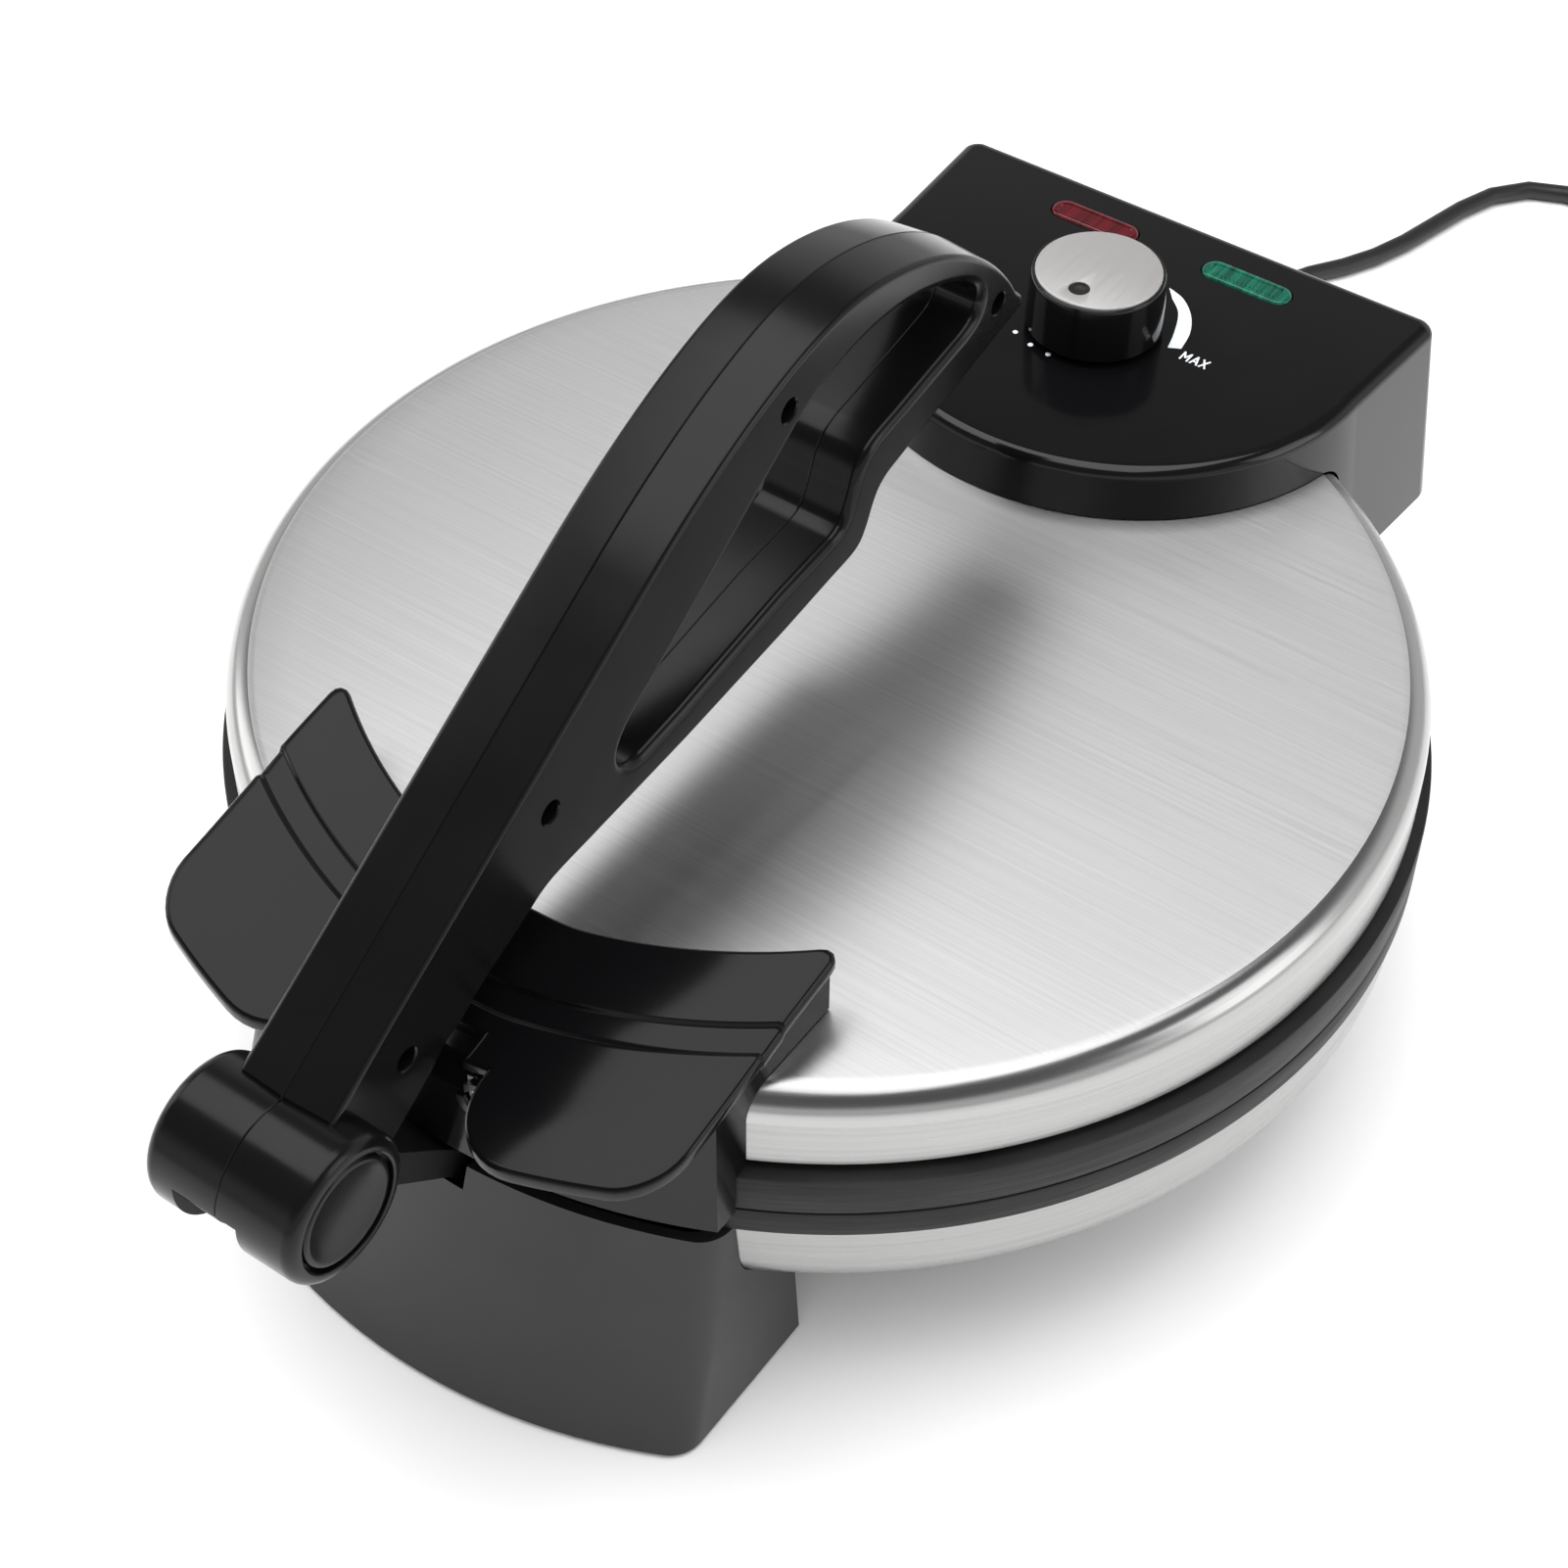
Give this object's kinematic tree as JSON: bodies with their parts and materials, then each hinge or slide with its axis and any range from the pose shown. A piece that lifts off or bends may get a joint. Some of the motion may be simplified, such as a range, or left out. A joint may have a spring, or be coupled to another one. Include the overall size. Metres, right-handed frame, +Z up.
{
  "type": "electric roti maker",
  "caption": "Electric roti maker: round hot plates under a hinged steel lid, a press lever pinned to the front base, a rear control housing with a dial, and a mains cord.",
  "frame": {"origin": "on the worktop under the middle of the part, with the free cord left out of the middle", "axes": "+Z up; +Y from the press lever towards the control housing; +X to the right for a person who faces the lever"},
  "size_m": [0.319, 0.7241, 0.2212],
  "materials": {
    "brushed_steel": "brushed",
    "coated_plate": "satin",
    "element_sheath": "satin",
    "plated_steel": "satin",
    "screw_steel": "polished",
    "black_plastic": "satin gloss",
    "inner_black_plastic": "satin",
    "foot_rubber": "matte",
    "cord_rubber": "satin",
    "ceramic_body": "matte",
    "red_plastic": "gloss",
    "green_plastic": "gloss",
    "lamp_glass": "gloss",
    "knob_metal": "brushed",
    "bush_brass": "satin"
  },
  "bodies": {
    "base": {"lower_pan": "brushed_steel", "lower_plate": "coated_plate", "lower_element": "element_sheath", "lower_shield": "plated_steel", "lower_spacers": "plated_steel", "pan_screws": "screw_steel", "front_base": "black_plastic", "rear_base": "black_plastic", "rear_cover": "inner_black_plastic", "rubber_feet": "foot_rubber", "base_screws": "screw_steel", "lever_neck": "inner_black_plastic", "neck_bolts": "screw_steel", "lever_pin": "plated_steel", "lower_hinge_bracket": "plated_steel", "lower_bracket_bolts": "screw_steel", "hinge_pin": "plated_steel", "terminal_block": "ceramic_body", "strain_relief": "cord_rubber", "power_cord": "cord_rubber", "cord_coil": "cord_rubber", "cord_tail": "cord_rubber", "plug": "cord_rubber"},
    "lid": {"lid_shell": "brushed_steel", "lid_screws": "screw_steel", "upper_plate": "coated_plate", "upper_element": "element_sheath", "upper_shield": "plated_steel", "upper_shield_screws": "screw_steel", "upper_hinge_bracket": "plated_steel", "upper_bracket_screws": "screw_steel", "lid_grip": "black_plastic", "grip_screws": "screw_steel", "control_housing": "black_plastic", "housing_cover": "inner_black_plastic", "cover_screws": "screw_steel", "housing_screws": "screw_steel", "red_lens": "red_plastic", "green_lens": "green_plastic", "indicator_lamps": "lamp_glass", "thermostat": "ceramic_body", "thermostat_bracket": "plated_steel", "thermostat_screws": "screw_steel"},
    "knob": {"thermostat_shaft": "plated_steel", "knob": "black_plastic", "knob_disc": "knob_metal"},
    "lever": {"lever_left_half": "black_plastic", "lever_right_half": "black_plastic", "lever_screws": "screw_steel", "barrel_caps": "black_plastic", "barrel_bushes": "bush_brass"}
  },
  "joints": [
    {"name": "lid_hinge", "type": "hinge", "parent": "base", "child": "lid", "pos_m": [0, 0.1808, 0.062], "axis": [-1, 0, 0], "range_deg": [0, 60]},
    {"name": "lever_hinge", "type": "hinge", "parent": "base", "child": "lever", "pos_m": [0, -0.187, 0.1078], "axis": [1, 0, 0], "range_deg": [0, 140]},
    {"name": "knob_turn", "type": "hinge", "parent": "lid", "child": "knob", "pos_m": [0, 0.1425, 0.1248], "axis": [0, 0, 1], "range_deg": [-255, 0]}
  ],
  "couplings": [
    {"joint": "lever_hinge", "follows": "lid_hinge", "ratio": 2.3}
  ]
}
